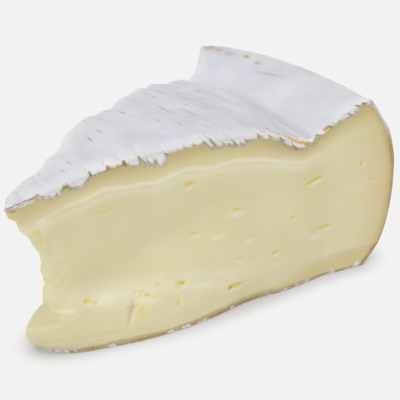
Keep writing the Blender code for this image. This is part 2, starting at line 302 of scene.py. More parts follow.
# Eyes in the front cut: distance, height, width, tallness, depth, and tilt in degrees.
EYES = (
    (17, 11, 2.2, 0.9, 0.5, -6), (18.5, 10.5, 1.6, 0.6, 0.4, -4), (22.8, 31.8, 4.4, 0.7, 0.22, 14),
    (29.9, 34.4, 2.4, 0.5, 0.2, 6), (13.9, 25.1, 0.9, 0.6, 0.2, 0), (6.4, 30.3, 1.5, 2, 0.3, 70),
    (7.4, 33.8, 1.4, 0.7, 0.2, 25), (29.7, 11, 1.5, 0.5, 0.35, -10), (30.8, 10.2, 2, 0.8, 0.5, -5),
    (30.9, 10.2, 0.8, 0.5, 0.8, 0), (28.2, 11.2, 1.3, 0.5, 0.3, -10), (29.1, 10.2, 0.9, 0.5, 0.3, 0),
    (32.1, 9.6, 1, 0.6, 0.3, 20), (31.5, 10.9, 0.6, 0.4, 0.25, 0), (34, 12, 1.3, 0.5, 0.3, 0),
    (36.5, 12.7, 1.4, 0.6, 0.3, 4), (39.7, 11.3, 3, 1.4, 0.5, -2), (39.9, 11.1, 1, 0.7, 0.8, 0),
    (38.6, 10.4, 1, 0.7, 0.35, 0), (38, 6.9, 0.9, 1.9, 0.3, 0), (44.2, 34.4, 2.6, 1.3, 0.5, 8),
    (43.6, 33.9, 1.2, 1.1, 0.4, 0), (45.1, 21.5, 2.8, 0.8, 0.45, -4), (51, 20.6, 2.3, 0.6, 0.3, 4),
    (52.1, 35.1, 3.4, 0.5, 0.22, -8), (53.9, 6.9, 5, 1.6, 0.6, -4), (52.9, 6.5, 1.8, 0.9, 0.8, 0),
    (47.6, 5.8, 0.8, 1.9, 0.2, 0), (56.5, 25.3, 3.3, 0.6, 0.45, -4), (56, 13.2, 3.4, 0.5, 0.3, -4),
    (61.6, 30, 1.4, 0.5, 0.2, 0), (66.2, 12.1, 2.1, 0.7, 0.4, 4), (67.2, 9.4, 2, 0.5, 0.22, -10),
    (72.2, 19.6, 2.4, 0.7, 0.3, 10), (78.9, 28.3, 5.2, 1, 0.6, 17), (77.4, 27.6, 2, 0.7, 0.4, 5),
    (82, 14.4, 6, 0.8, 0.4, 2), (82.9, 14.5, 2.8, 1.1, 0.5, 4), (86.8, 21, 2.2, 0.6, 0.25, -4),
    (92.4, 30.2, 2, 1.4, 0.45, 40), (92.3, 19.4, 1, 0.8, 0.25, 0), (95.6, 25.1, 1.3, 1, 0.35, 0),
)
# The limits of the same numbers for the eyes drawn in the back cut.
BACK_EYE_LIMITS = ((12, 94), (7, 36), (1.6, 4.2), (0.6, 1.4), (0.25, 0.8), (-20, 30))
BACK_EYE_COUNT = 18
CORE_FROM = 0.8
# A groove in the cut, the hollow beside it, and pale patches: distance, height, width, tallness.
GROOVE = (26.2, 7.2, 1.1, 6)
GROOVE_TILT = -27
GROOVE_DEPTH = 0.8
GROOVE_HOLLOW = ((28.8, 6.8, 2, 4.4),)
HOLLOW_DEPTH = 0.25
PALE_PATCHES = (
    (11.4, 9.5, 5, 0.9), (20.3, 10.6, 4, 1.8), (45, 9.6, 5, 1.6), (30.4, 8.8, 5, 1.6),
    (79.5, 12.2, 4.5, 1), (56, 24, 4, 1), (50.5, 19.6, 3.5, 0.9), (8, 32.6, 3, 2),
    (59.2, 17, 2.5, 1.2),
)
# The drags over the ledge, the torn nose and the bead along the base.
DRAGS_AT = (9.5, 9)
DRAGS_END = (45, 75)
NOSE_TORN = (1, 7)
NOSE_TORN_ABOVE = (0, 4)
BASE_BEAD = 0.15
BASE_BEAD_AT = (2.6, 1)
# How far the paste lies inside the rind.
PASTE_REACH = 1 - 0.2 / 95
PASTE_SUNK = 0.45
PASTE_SUNK_DEEPER = 1.8
HEEL_SUNK_SIDES = (0, 3)
HEEL_SUNK_TOP = (3, 9)
UNDER_RIND = (0, 3)
# Where the paste is ripe, brown with painted shadow under the lip, pale with painted highlights,
# painted darker as shade at the nose's foot, and dull along its edges.
RIPE_TOP = (0.45, 1.05)
RIPE_HEEL = (0.3, 11)
RIPE_BOTTOM = (1.4, 4.6)
RIPE_BOTTOM_GROWS = (45, 95)
LIP_SHADOW_AND_BROWN = (0.1, 0.9)
NICK_SHADE = 1.2
LOW_RIDGE_AT = (10.5, 7)
LOW_RIDGE_BEGINS = (8, 22)
LOW_RIDGE_ENDS = (30, 75)
UNDER_LINE = 1.6
UNDER_LINE_WIDTH = 2.6
UNDER_LINE_ENDS = (70, 88)
FOOT_ALONG = (6, 28)
FOOT_UP = (7, 16)
EDGE_REACH = (0.3, 3.2)
EDGE_AT_BASE = 1.4
# The brown band along the base of the cuts: how tall it is at each distance.
BASE_BAND = (
    (0, 0.9), (6, 1), (12, 1.2), (20, 1.6), (30, 1.7), (38, 1.5), (44, 1.7), (58, 2), (66, 1.8),
    (74, 1.4), (82, 1), (94, 0.9),
)

# ---- How finely the two pieces are cut into rows: along, across and up.
PASTE_ROWS = (310, 12, 136)
RIND_ROWS = (560, 52, 32)
LIP_ROWS = 12
SOLE_ROWS = 3
HEEL_LIP_ROWS = 3

# ---- Noise: its strength, its size, its seed and its octaves.
NOISES = {
    "roll": (0.4, 6, 17, 3), "hang": (0.08, 2.6, 11, 2), "ragged": (0.16, 0.9, 13, 2),
    "between tufts": (1, 4, 18, 2), "tufts": (0.6, 0.8, 19, 2), "sole": (0.5, 2.5, 21, 3),
    "jag": (1, 1.2, 23, 2), "pillow": (0.3, 3, 31, 2), "fuzz": (1, 0.8, 37, 2),
    "lumps": (0.5, 7, 41, 3), "tip lumps": (0.3, 2.8, 45, 2), "mat": (0.1, (1.9, 17, 9), 43, 2),
    "nap": (0.05, 1.2, 47, 2), "heel mat": (0.16, (9, 9, 2.4), 53, 2),
    "veins": (1, (2.6, 24, 20), 61, 1), "patches": (1, 9, 63, 1), "clouds": (1, 12, 67, 3),
    "wobble": (0.38, 1.1, 71, 3), "drags": (0.07, (9, 9, 1.6), 83, 2),
    "nose drags": (0.16, (4, 4, 1.8), 81, 3), "swells": (0.2, 11, 85, 2), "grain": (0.02, 0.9, 87, 2),
    "torn": (0.5, 2.6, 89, 3), "shoulder": (0.35, 5, 97, 3), "crumbly": (0.6, 0.9, 93, 2),
    "cloudy": (0.35, 6, 91, 2), "streaks": (0.5, (14, 14, 2.2), 95, 2), "band": (0.18, 3, 99, 3),
}


def unit(x):
    return np.clip(x, 0, 1)


def rise(low, high, x):
    """0 up to low, rising smoothly to 1 at high."""
    t = unit((x - low) / (high - low))
    return t * t * (3 - 2 * t)


def fade(low, high, x, to=0.0):
    """1 up to low, falling smoothly to the last value at high."""
    return 1 - (1 - to) * rise(low, high, x)


def bell(x, middle, width):
    """1 at the middle, falling to almost nothing a width away."""
    return np.exp(-4 * ((x - middle) / width) ** 2)


def lattice_noise(points, scale, seed):
    """Smooth noise from -1 to 1, whose features are about scale across; scale may differ by axis."""
    cell = points / np.array(scale)
    base = np.floor(cell).astype(np.int64)
    part = cell - base
    part = part * part * (3 - 2 * part)
    total = np.zeros(len(points))
    for corner in itertools.product((0, 1), repeat=3):
        key = (base + np.array(corner)) @ np.array([73856093, 19349663, 83492791]) + seed * 7919
        key = (key ^ (key >> 15)) * 2246822519 & 0xFFFFFFFF
        key = (key ^ (key >> 13)) * 3266489917 & 0xFFFFFFFF
        value = (key >> 8 & 0xFFFF) / 32767.5 - 1
        total += value * np.prod(np.where(corner, part, 1 - part), axis=1)
    return total


def fractal(points, scale, seed, octaves):
    """Layers of noise, each with half the size and half the strength of the one before."""
    scale = np.array(scale, float)
    layers = [lattice_noise(points, scale / 2 ** n, seed + n) / 2 ** n for n in range(octaves)]
    return sum(layers)


def noise(name, points):
    """The noise of this name at each point."""
    strength, size, seed, octaves = NOISES[name]
    return strength * fractal(points, size, seed, octaves)


def through_points(x, xs, ys):
    """A smooth curve through the points (xs, ys), read at x. Row k of xs and ys belongs to x[k]."""
    steps = np.diff(xs)
    slopes = np.diff(ys) / steps
    before, after = steps[:, :-1], steps[:, 1:]
    inner = (slopes[:, :-1] * after + slopes[:, 1:] * before) / (before + after)
    tangents = np.concatenate([slopes[:, :1], inner, slopes[:, -1:]], axis=1)
    span = (x[:, None] >= xs[:, 1:-1]).sum(1)
    k = np.arange(len(x))
    step = steps[k, span]
    t = unit((x - xs[k, span]) / step)
    start, climb = ys[k, span], ys[k, span + 1] - ys[k, span]
    leave, arrive = tangents[k, span] * step, tangents[k, span + 1] * step
    squared = 3 * climb - 2 * leave - arrive
    cubed = leave + arrive - 2 * climb
    return start + leave * t + squared * t ** 2 + cubed * t ** 3


def curve(table, x):
    """A smooth curve through the rows of a table, read at x."""
    xs, ys = (np.broadcast_to(column, (len(x), len(table))) for column in np.array(table).T)
    return through_points(np.clip(x, xs[:, 0], xs[:, -1]), xs, ys)


# ---- From a box to the wedge


def top_height(distance, across):
    """The height of the top; across is 0 on the front cut and 1 on the back cut."""
    front_at, front_height, back_at, back_height = np.array([row[1:] for row in TOP_STATIONS]).T
    share = across[:, None]
    stations = front_at + (back_at - front_at) * share
    heights = front_height + (back_height - front_height) * share
    height = through_points(distance, stations, heights)
    near_crest = rise(stations[:, -4], stations[:, -2], distance)
    to_corner = unit((across - CORNER_BEGINS) / (1 - CORNER_BEGINS))
    fall = CREST_FALL * rise(*CREST_FALLS, across) + CORNER_DROOP * to_corner ** 3
    height = height - fall * near_crest
    along = distance * np.cos((across - 0.5) * WEDGE_ANGLE)
    ridged = rise(stations[:, 0], stations[:, 1], distance) * (1 - near_crest)
    ridged = ridged * (RIDGE_AT_FRONT + (1 - RIDGE_AT_FRONT) * across)
    wave = np.sin(2 * math.pi * (along - RIDGE_BEGINS) / RIDGE_PITCH)
    height = height + RIDGE_HEIGHT * ridged * wave
    reach = BACK_EDGE_REACH * rise(*BACK_EDGE_WIDENS, distance)
    return height + curve(BACK_EDGE, distance) * rise(reach, 1, across)


def heel_radius(height):
    """The outer radius of the wheel at this height."""
    crest = TOP_STATIONS[-1][2]
    above = np.clip((height - BULGE_HEIGHT) / (crest - BULGE_HEIGHT), 0, None)
    below = np.clip((BULGE_HEIGHT - height) / BULGE_HEIGHT, 0, None)
    barrel = HEEL_UPPER_INSET * above ** HEEL_POWER + HEEL_LOWER_INSET * below ** HEEL_POWER
    shoulder = SHOULDER_INSET * unit(1 - (crest - height) / SHOULDER_HEIGHT) ** 2
    sole = SOLE_INSET * unit(1 - height / SOLE_HEIGHT) ** 2
    return WHEEL_RADIUS - barrel - shoulder - sole


def round_nose(along, across, height):
    """Turns the square end of the rows into a half ellipse; along is measured from the nose."""
    length = NOSE_AT_TOP + (NOSE_BELOW - NOSE_AT_TOP) * fade(*NOSE_WIDENS, height)
    left = np.clip(length - along, 0, None)
    side = 2 * across - 1
    along = along + left * (1 - np.sqrt(1 - side ** 2 / 2))
    side = side * np.sqrt(1 - (left / length) ** 2 / 2)
    return along, (side + 1) / 2


def cove_height(distance, top, across):
    """How far below the top the cove ends in its shoulder."""
    front = np.clip(top - curve(SHOULDER_LINE, distance), SHALLOWEST_COVE, None)
    return np.where(across < 0.5, front, BACK_COVE_HEIGHT)


def hump(x, low, high):
    """A half wave: 0 at low and at high, and 1 between them."""
    return np.sin(math.pi * unit((x - low) / (high - low)))


def cut_offset(distance, height, top, slump, begins, ledge_at_tip, cove):
    """How far a cut face stands out from its flat plane."""
    ledge_top = ledge_at_tip + (LEDGE_TOP - ledge_at_tip) * rise(*LEDGE_SPREADS, distance)
    out = slump * hump(distance, begins, SLUMP_ENDS) * fade(LEDGE_BOTTOM, ledge_top, height)
    out = out + BLUNT * fade(0, BLUNT_ENDS, distance)
    out = out + TIP_FULLNESS * rise(*TIP_FULL_ABOVE, height) * fade(0, TIP_FULL_ENDS, distance)
    out = out + FLARE * hump(distance, *FLARE_SPAN) * unit(1 - height / FLARE_HEIGHT) ** 2
    out = out - BASE_COVE * hump(height, *BASE_COVE_HEIGHTS) * rise(*BASE_COVE_BEGINS, distance)
    under_lip = unit((top - height - COVE_STARTS) / (cove - COVE_STARTS)) ** COVE_POWER
    return out - COVE_DEPTH * np.sin(math.pi * under_lip) * rise(*COVE_BEGINS, distance)


class Sheet:
    """Points of a box carried to the wedge, with what the reliefs and colours ask of each point."""

    def __init__(self, u, v, w):
        tip_level = w * TOP_STATIONS[0][2]
        start = curve(NOSE_OUTLINE, tip_level)
        crest_level = w * TOP_STATIONS[-1][2]
        end = heel_radius(crest_level) + BEYOND_CENTRE * np.cos((v - 0.5) * WEDGE_ANGLE)
        low_corner = unit(1 - crest_level / BASE_CORNER_HEIGHT) ** 2
        end = end - BASE_CORNER * low_corner * fade(0, BASE_CORNER_REACH, v)
        along, across = round_nose((end - start) * u, v, tip_level)
        distance = start + along
        top = top_height(distance, across)
        height = w * top
        self.cove = cove_height(distance, top, across)
        at = (distance, height, top)
        front_ledge, back_ledge = LEDGE_TOP_NEAR_TIP
        front = (1 - across) * cut_offset(*at, FRONT_SLUMP, FRONT_SLUMP_BEGINS, front_ledge, self.cove)
        back = across * cut_offset(*at, BACK_SLUMP, BACK_SLUMP_BEGINS, back_ledge, self.cove)
        front = front + (1 - across) * curve(FRONT_FOOT, distance) * fade(0, FOOT_HEIGHT, height)
        angle = (across - 0.5) * WEDGE_ANGLE
        half = WEDGE_ANGLE / 2
        x = CUTS_MEET_X + distance * np.cos(angle) - math.sin(half) * (front + back)
        y = distance * np.sin(angle) - math.cos(half) * (front - back)
        self.points = np.stack([x, y, height], axis=1)
        self.distance, self.height, self.across = distance, height, across
        self.depth = top - height
        self.to_heel = end - distance
        self.inset = distance * np.minimum(across, 1 - across) * WEDGE_ANGLE
        self.from_nose = along
        self.from_edge = np.minimum(self.inset, along)


def rolled(sheet, points, radius, from_face, upward):
    """Rounds the square edge between the cuts and the top, or the bottom, as far as radius reaches."""
    half = WEDGE_ANGLE / 2
    nose_first = sheet.from_nose < sheet.inset
    inward_y = np.where(sheet.across < 0.5, math.cos(half), -math.cos(half)) * ~nose_first
    inward_x = np.where(nose_first, 1.0, math.sin(half))
    a = unit(1 - sheet.from_edge / radius)
    b = unit(1 - from_face / radius)
    further_in = radius * a * (1 - np.sqrt(1 - b ** 2 / 2))
    further_on = upward * radius * b * (1 - np.sqrt(1 - a ** 2 / 2))
    return points + np.stack([inward_x * further_in, inward_y * further_in, further_on], axis=1)


def rounded(edge, sheet):
    """The sheet's points with the top's and the base's edges rolled over; edge is the top's edge."""
    radius = curve(FRONT_ROLL, edge.distance)
    radius = radius + (BACK_ROLL - radius) * rise(0.3, 0.7, sheet.across)
    radius = np.minimum(radius, WIDEST_ROLL * sheet.distance * WEDGE_ANGLE)
    points = rolled(sheet, sheet.points, radius, sheet.depth, -1)
    small, large = SOLE_ROLL
    radius = large + (small - large) * rise(*SOLE_ROLL_FADES, sheet.distance)
    radius = radius * (1 + noise("roll", edge.points * FLAT))
    return rolled(sheet, points, radius, sheet.height, 1)


# ---- Boxes and pieces


def rows(count, crowding):
    """Places of the rows from 0 to 1, crowded towards both ends."""
    t = np.linspace(0, 1, count + 1)
    return t - crowding * np.sin(2 * math.pi * t) / (2 * math.pi)


def boxed(counts):
    """The surface of a box of this many rows each way: its points' row numbers, and its faces."""
    shape = tuple(count + 1 for count in counts)
    place = np.indices(shape).reshape(3, -1).T
    outside = ((place == 0) | (place == np.array(counts))).any(axis=1)
    number = np.full(len(place), -1)
    number[outside] = np.arange(outside.sum())
    number = number.reshape(shape)
    faces = []
    for axis in range(3):
        for end in (0, -1):
            side = np.take(number, end, axis=axis)
            corners = [side[:-1, :-1], side[1:, :-1], side[1:, 1:], side[:-1, 1:]]
            quads = np.stack(corners, axis=-1).reshape(-1, 4)
            inward = (end == 0) != (axis == 1)
            faces.append(quads[:, ::-1] if inward else quads)
    return place[outside].T, np.concatenate(faces)


def normals_of(points, faces):
    corner = points[faces]
    normal = np.cross(corner[:, 2] - corner[:, 0], corner[:, 3] - corner[:, 1])
    total = np.zeros_like(points)
    for axis in range(3):
        weights = np.repeat(normal[:, axis], 4)
        total[:, axis] = np.bincount(faces.ravel(), weights=weights, minlength=len(points))
    return total / np.linalg.norm(total, axis=1, keepdims=True)


def placed(name, data):
    """A new object of the scene."""
    thing = bpy.data.objects.new(name, data)
    bpy.context.scene.collection.objects.link(thing)
    return thing


def make_piece(name, points, faces, masks, material):
    """A mesh in metres, kept inside the solid's box and carrying each mask as an attribute."""
    points = np.clip(points * MM, np.array(cad_low), np.array(cad_high))
    mesh = bpy.data.meshes.new(name)
    mesh.from_pydata(points.tolist(), [], faces.tolist())
    for mask, values in masks.items():
        mesh.attributes.new(mask, "FLOAT", "POINT").data.foreach_set("value", unit(values))
    mesh.shade_smooth()
    mesh.materials.append(material)
    piece = placed(name, mesh)
    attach(piece, "root")
    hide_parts("brie_wedge")


# ---- The rind


def whole_lip(edge):
    """How far the rind hangs down over the cut nearest to each point, before its nicks."""
    front = curve(FRONT_LIP, edge.distance)
    swing = BACK_LIP_SWING * np.sin(2 * math.pi * edge.distance / BACK_LIP_PITCH)
    back = HEEL_LIP + (BACK_LIP_DEPTH - HEEL_LIP + swing) * rise(*BACK_LIP_GROWS, edge.to_heel)
    depth = front + (back - front) * rise(0.2, 0.8, edge.across)
    return depth * (1 + noise("hang", edge.points * FLAT))


def drawn(draw, limits):
    """One value drawn between each pair of limits."""
    return tuple(draw.uniform(*pair) for pair in limits)


def frills(draw):
    """Small nicks between the named ones, at uneven steps."""
    found = []
    at = draw.uniform(*FRILL_STEP)
    while at < FRILLS_END:
        found.append((at, *drawn(draw, FRILL_LIMITS)))
        at += draw.uniform(*FRILL_STEP)
    return found


def all_nicks():
    """The nicks of the front cut's lip and of the back cut's."""
    draw = np.random.default_rng(5)
    begins, ends = BACK_NICKS_SPAN
    back = []
    for n in range(BACK_NICK_COUNT):
        at = begins + (ends - begins) * (n + draw.uniform(0.1, 0.9)) / BACK_NICK_COUNT
        back.append((at, *drawn(draw, BACK_NICK_LIMITS)))
    return list(FRONT_NICKS) + frills(draw), back + frills(draw)


def nicked_lip(edge):
    """The lip along the top's edge: its hang with the nicks, how full it swells, and its orange."""
    left, swell, orange = 1, 1, 0
    for table, side in zip(all_nicks(), (edge.across < 0.5, edge.across >= 0.5)):
        for at, width, share, colour in table:
            off = np.abs(edge.distance - at) - width / 2
            gap = side * fade(-2 * NICK_SOFTNESS, NICK_SOFTNESS, off)
            near = side * unit(1 - off / (LOBE_ROUNDING * width))
            lobe = 1 - share * (1 - np.sqrt(1 - near ** 2))
            swell = np.minimum(swell, lobe)
            left = np.minimum(left, (1 - share * gap) * (1 + lobe) / 2)
            orange = np.maximum(orange, colour * gap)
    hang = whole_lip(edge) * left + noise("ragged", edge.points * FLAT)
    return np.maximum(hang, SHORTEST_LIP), swell, orange


def tuft_field(foot):
    """How tall the white tufts along the base are at each point."""
    found = 0
    for at, half, tall in TUFTS:
        found = np.maximum(found, tall * bell(foot.distance, at, TUFT_REACH * half))
    between = rise(-0.2, 0.7, noise("between tufts", foot.points * FLAT))
    return np.maximum(found, TUFTS_BETWEEN * between)


def torn_line(table, sheet, on_top, jag=0):
    """How far each point lies in a torn line of the front lip: 1 in its middle, and 0 outside."""
    at, depth, half = np.array(table).T
    below_edge = np.where(on_top, -sheet.inset, sheet.depth) + jag * noise("jag", sheet.points)
    off = np.abs(below_edge - np.interp(sheet.distance, at, depth))
    half = np.interp(sheet.distance, at, half, left=0, right=0)
    found = fade(0.5, 1.3, off / np.maximum(half, 0.01))
    return found * (half > 0) * (sheet.across < 0.5)


def marks(table, sheet):
    """The strongest of the marks at each point; they are longer across the wedge than along it."""
    found = 0
    for at, across, length, width, strength in table:
        aside = (sheet.across - across) * sheet.distance * WEDGE_ANGLE
        found = np.maximum(found, strength * bell(sheet.distance, at, width) * bell(aside, 0, length))
    return found


class Rind:
    """The felt over the top, the heel and the bottom, with its lip over the cuts."""

    def __init__(self):
        (i, j, k), self.faces = boxed(RIND_ROWS)
        n_along, n_across, n_up = RIND_ROWS
        on_side = (j == 0) | (j == n_across) | (i == 0)
        self.on_end = i == n_along
        self.on_heel = self.on_end & ~on_side
        self.on_top = (k == n_up) & ~on_side & ~self.on_heel
        self.in_lip = on_side & (n_up - k <= LIP_ROWS)
        self.in_sole = on_side & (k <= SOLE_ROWS)
        self.in_heel_lip = on_side & (i >= n_along - HEEL_LIP_ROWS)
        self.hidden = on_side & ~self.in_lip & ~self.in_sole & ~self.in_heel_lip
        self.lip_share = unit((n_up - k) / LIP_ROWS)
        self.wall_share = unit((k - SOLE_ROWS) / (n_up - LIP_ROWS - SOLE_ROWS))
        self.sole_share = unit(k / SOLE_ROWS)
        self.carry(rows(n_along, 0.1)[i], rows(n_across, 0.5)[j], k / n_up)
        self.find_features()
        out = normals_of(self.points, self.faces)
        self.points = self.points + out * self.relief()[:, None]

    def carry(self, u, v, up):
        """Carries the box to the wedge: lip, then the hidden wall behind the paste, then sole."""
        edge = Sheet(u, v, np.ones(len(u)))
        self.hang, self.swell, self.orange = nicked_lip(edge)
        uneven = 0.75 + noise("tufts", edge.points * FLAT)
        self.tufts = tuft_field(Sheet(u, v, np.zeros(len(u)))) * uneven
        sole = (SOLE_LIP + self.tufts) * (1 + noise("sole", edge.points * FLAT))
        height = sole * self.sole_share + (edge.height - self.hang - sole) * self.wall_share
        w_side = (height + self.hang * (1 - self.lip_share)) / edge.height
        inside = rise(0, HEEL_SIDES, v) * rise(0, HEEL_SIDES, 1 - v) * self.on_end
        w = w_side + (up - w_side) * inside
        nose_in, side_in = HIDDEN_WALL_IN
        u = np.where(self.hidden, np.maximum(u, nose_in), u)
        v = np.where(self.hidden, 0.5 + (v - 0.5) * (1 - 2 * side_in), v)
        self.sheet = Sheet(u, v, w)
        self.points = rounded(edge, self.sheet)

    def find_features(self):
        """The crease, the tears, the crack, the marks and the fuzz at each point."""
        sheet = self.sheet
        crease_at = np.interp(sheet.across, CREASE_ACROSS, CREASE_AT)
        self.crease = bell(sheet.distance, crease_at, CREASE_WIDTH) * fade(*CREASE_FADES, sheet.across)
        self.torn = np.maximum(*(torn_line(table, sheet, self.on_top) for table in (TEAR, SMALL_TEAR)))
        self.cracked = torn_line(TIP_CRACK, sheet, self.on_top, CRACK_JAG) * self.in_lip
        self.mark = marks(MARKS, sheet) * self.on_top
        self.fuzz = noise("fuzz", self.points)

    def relief(self):
        """How far each point is pushed out."""
        sheet, points = self.sheet, self.points
        tip_lumps = noise("tip lumps", points) * fade(*TIP_LUMPS_END, sheet.distance)
        lumps = noise("lumps", points) + tip_lumps
        nap = noise("nap", points)
        calm = fade(*BACK_CALM, sheet.across, to=0.3) * fade(*CREST_CALM, sheet.distance, to=0.1)
        felt = lumps * calm + noise("mat", points) + nap
        calm = fade(*HEEL_CALM, sheet.height, to=0.2) * rise(0, HEEL_SIDE_CALM, sheet.inset)
        on_heel = (lumps + noise("heel mat", points)) * calm + nap
        pillow = 0.85 + noise("pillow", points)
        sinks = NICK_SINKS * (self.swell - 1) * rise(0.2, 0.6, 1 - self.swell)
        sole = SOLE_LIP_THICKNESS + 0.15 * self.tufts + SOLE_NOSE * fade(*SOLE_NOSE_ENDS, sheet.distance)
        kinds = (
            (self.on_heel, on_heel),
            (self.on_top, self.top_relief(felt, pillow, sinks)),
            (self.in_heel_lip & ~self.in_lip, HEEL_LIP_OUT * (1 + self.fuzz)),
            (self.in_sole, sole * (1 + self.fuzz) * self.sole_share),
            (self.in_lip, self.lip_relief(felt, pillow, sinks)),
        )
        return np.select(*zip(*kinds)) - TEAR_DEPTH * self.torn - CRACK_DEPTH * self.cracked

    def top_relief(self, felt, pillow, sinks):
        over_rim = LIP_AT_RIM * LIP_THICKNESS * pillow * fade(*RIM_ENDS, self.sheet.distance) + sinks
        near_rim = bell(self.sheet.from_edge, 0, RIM_REACH)
        return felt + near_rim * over_rim - CREASE_DEPTH * self.crease - MARK_DEPTH * self.mark

    def lip_relief(self, felt, pillow, sinks):
        fullness = 1 - (1 - self.swell) * rise(0.35, 1, self.lip_share)
        profile = LIP_AT_RIM + (1 - LIP_AT_RIM) * np.sin(math.pi * 0.8 * self.lip_share)
        lobes = LIP_THICKNESS * fullness * pillow * profile + LIP_NAP * self.fuzz * self.lip_share
        return lobes + (1 - self.lip_share) * (felt + sinks)

    def lip_fringe(self):
        """The tan fringe along the lip's end, which is wider where the lip is short: partly the cut
        rind's brown, partly painted shade under the lip.
        """
        short = fade(*SHORT_LIP, self.hang)
        from_end = self.hang * (1 - self.lip_share)
        fringe = fade(0.3 + 0.2 * short, 0.9 + 0.35 * short, from_end)
        return self.in_lip * fringe * rise(0.3, 0.6, self.lip_share)

    def masks(self):
        """Where each colour of the rind shows."""
        sheet, on_top, in_lip, fuzz = self.sheet, self.on_top, self.in_lip, self.fuzz
        felt = on_top | self.on_heel
        patches = noise("patches", sheet.points)
        veins = fade(0.0, 0.07, np.abs(noise("veins", sheet.points))) * rise(0.1, 0.5, patches)
        cloud = rise(0.1, 0.9, noise("clouds", self.points)) * felt
        fringe = self.lip_fringe()
        streaks = marks(TAN_STREAKS, sheet) * felt * (0.7 + 0.6 * fuzz)
        plateau = rise(*PLATEAU_BEGINS, sheet.distance) * fade(*PLATEAU_ENDS, sheet.distance)
        bare_heel_lip = self.in_heel_lip * fade(*HEEL_LIP_WHITE, sheet.height)
        bare_sole = self.in_sole * fade(*SOLE_WHITE, self.tufts + 0.12 * fuzz)
        # Painted shade on the walls of the nicks between the lip's lobes.
        nick_wall_shade = 0.4 * (1 - self.swell) * in_lip * rise(0.7, 1, self.lip_share)
        # The lip, most of all its downward-facing lower part, and the top along its rolled rim are
        # painted whiter: partly the felt's own white, partly painted highlight.
        rim = unit(0.6 + 0.5 * patches)
        on_lip = rim + (1 - rim) * rise(0, 0.6, self.lip_share)
        on_felt = rim * bell(sheet.inset, 0, HIGHLIGHT_RIM_REACH) * on_top
        return {
            # Painted shade darkens the crease; the veins and clouds are the felt's own grey.
            "grey_and_crease_shade": 0.4 * veins * on_top + 0.4 * cloud + 0.75 * self.crease * on_top,
            "tear": self.torn * (on_top | in_lip),
            "green": marks(GREEN_SPOTS, sheet) * on_top,
            "mat": plateau * on_top * rise(-0.3, 0.4, patches),
            "mark": self.mark,
            # The fringe's tan is partly the cut rind's brown, partly painted shade at the lip's end; the
            # streaks are the felt's own.
            "tan": fringe * rise(-0.8, 0.5, fuzz) + streaks,
            "ochre": np.maximum(bare_heel_lip, bare_sole) * ~in_lip,
            "crack_and_nick_shade": self.cracked * (0.6 + 0.5 * fuzz) + nick_wall_shade,
            "orange": self.orange * in_lip * rise(0.1, 0.5, self.lip_share),
            "pale_and_highlight": np.where(in_lip, on_lip, on_felt) * (1 - fringe),
        }


# ---- The paste


def turned(sheet, at, height, tilt):
    """Each point's place along and across an axis through (at, height) in a cut."""
    along = sheet.distance - at
    up = sheet.height - height
    turn = math.radians(tilt)
    return along * math.cos(turn) + up * math.sin(turn), up * math.cos(turn) - along * math.sin(turn)


def eye_field(sheet, table, side):
    """The depth of the eyes in a table, their colour, painted highlights on their lower rims and painted
    shade in their deep cores.
    """
    depth = colour = rim = core_shade = 0
    wobble = noise("wobble", sheet.points)
    for at, height, width, tallness, deep, tilt in table:
        along, up = turned(sheet, at, height, tilt)
        radius = np.sqrt((along / (width / 2)) ** 2 + (up / (tallness / 2)) ** 2) * (1 + wobble)
        hole = unit(1 - radius ** 2) ** 0.7 * side
        depth = np.maximum(depth, deep * hole)
        strength = min(1, 0.45 + deep)
        colour = np.maximum(colour, fade(0.5, 1.2, radius) * side * strength)
        core_shade = np.maximum(core_shade, (deep >= CORE_FROM) * fade(0.15, 0.7, radius) * side)
        below = bell(up, -0.75 * tallness, 0.8) * bell(along, 0, 0.75 * width) * side
        rim = np.maximum(rim, 0.8 * strength * below * rise(0.9, 1.2, radius))
    return depth, colour, rim, core_shade


def patch_field(sheet, table, side):
    """Soft patches of a table: distance, height, width and tallness."""
    found = 0
    for at, height, width, tallness in table:
        patch = bell(sheet.distance, at, width) * bell(sheet.height, height, tallness)
        found = np.maximum(found, patch)
    return found * side


def back_eyes():
    draw = np.random.default_rng(9)
    return [drawn(draw, BACK_EYE_LIMITS) for _ in range(BACK_EYE_COUNT)]


